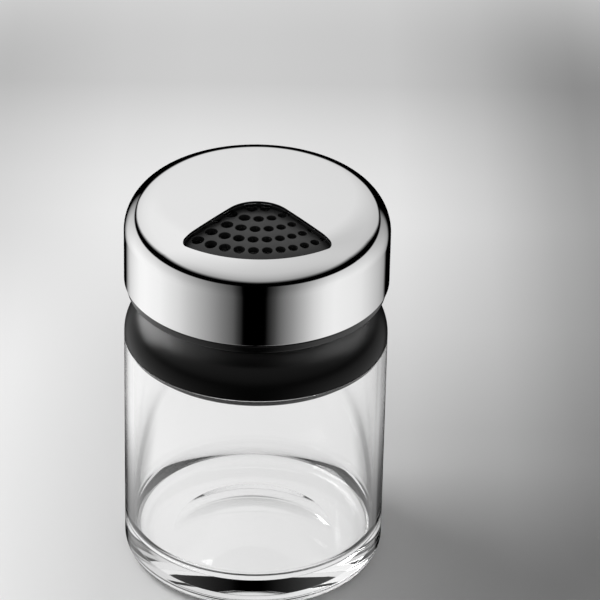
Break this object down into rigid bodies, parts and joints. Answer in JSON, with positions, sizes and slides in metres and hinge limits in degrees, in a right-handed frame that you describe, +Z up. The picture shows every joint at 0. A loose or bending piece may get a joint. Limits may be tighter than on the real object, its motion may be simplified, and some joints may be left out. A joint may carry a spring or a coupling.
{
  "type": "spice jar",
  "caption": "Round clear glass spice jar with a steel cap that turns over a graded sifter to open, set or close the dosing window.",
  "frame": {"origin": "centre of the jar's base, on the surface it stands on", "axes": "+Z up along the jar's axis, -Y towards the window as it stands in the picture"},
  "size_m": [0.064, 0.064, 0.1],
  "materials": {
    "clear_glass": "clear, polished",
    "gloss_black": "glossy moulded plastic",
    "seal_rubber": "soft matt silicone",
    "matt_black": "matt moulded plastic",
    "liner_black": "satin moulded plastic",
    "polished_steel": "mirror-polished stainless steel"
  },
  "bodies": {
    "jar": {"glass_jar": "clear_glass"},
    "head": {"collar": "gloss_black", "seal_ring": "seal_rubber", "sifter_disc": "matt_black"},
    "cap": {"cap_liner": "liner_black", "cap_shell": "polished_steel"}
  },
  "joints": [
    {"name": "head_lift", "type": "slide", "parent": "jar", "child": "head", "axis": [0, 0, 1], "range_m": [0, 0.03]},
    {"name": "cap_turn", "type": "hinge", "parent": "head", "child": "cap", "pos_m": [0, 0, 0.088], "axis": [0, 0, 1], "continuous": true}
  ]
}
